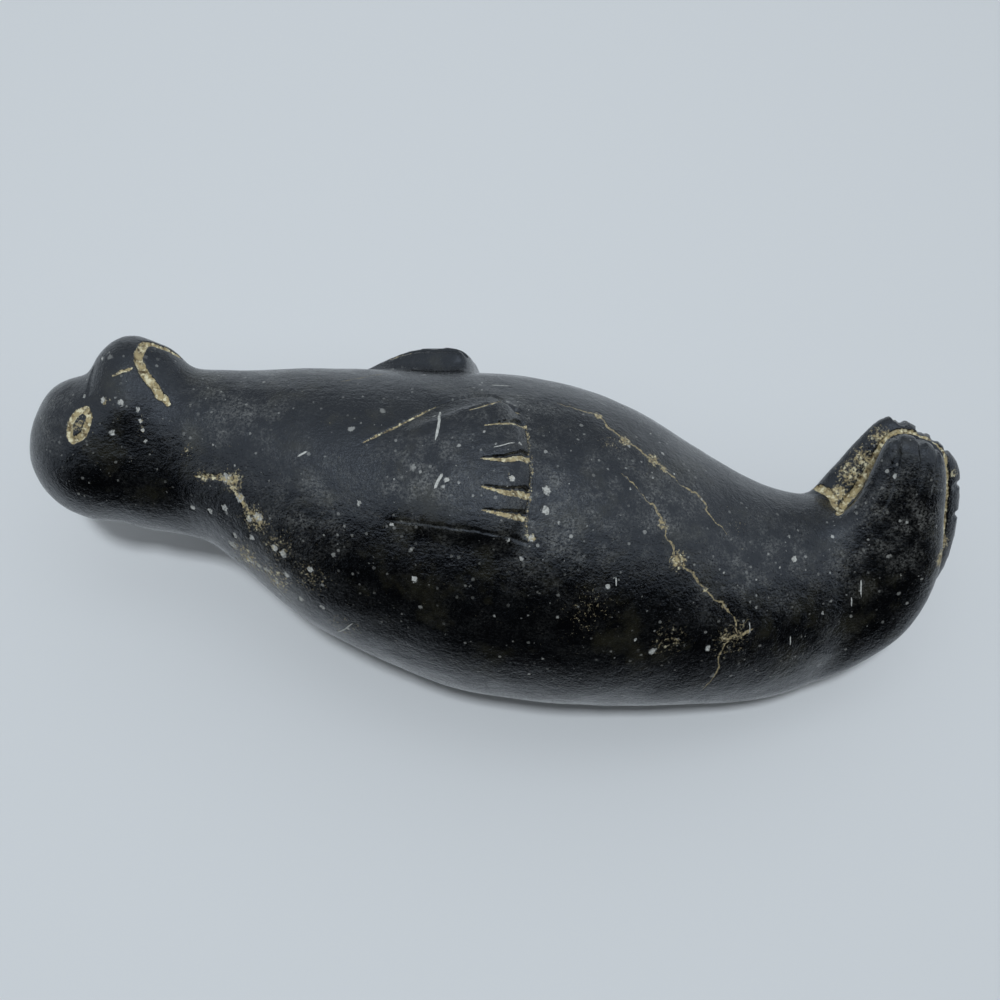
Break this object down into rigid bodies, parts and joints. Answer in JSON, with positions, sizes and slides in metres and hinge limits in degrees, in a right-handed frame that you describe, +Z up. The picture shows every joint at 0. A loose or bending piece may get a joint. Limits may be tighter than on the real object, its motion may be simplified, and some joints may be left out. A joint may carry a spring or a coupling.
{
  "type": "seal figurine",
  "caption": "Carved and polished black stone seal lying on its back, head bent toward its belly, fore flippers laid on the flanks and hind flippers curled up.",
  "frame": {"origin": "middle of the bounding box at the level the seal rests on", "axes": "+X runs from the head to the hind flippers, +Z is up as the seal lies, and its right flank faces -Y and up"},
  "size_m": [0.1904, 0.0732, 0.0677],
  "materials": {
    "stone": "dark stone, hand carved and polished, with raw pale stone in the cuts, chips and veins"
  },
  "bodies": {
    "root": {"seal": "stone"}
  },
  "joints": []
}
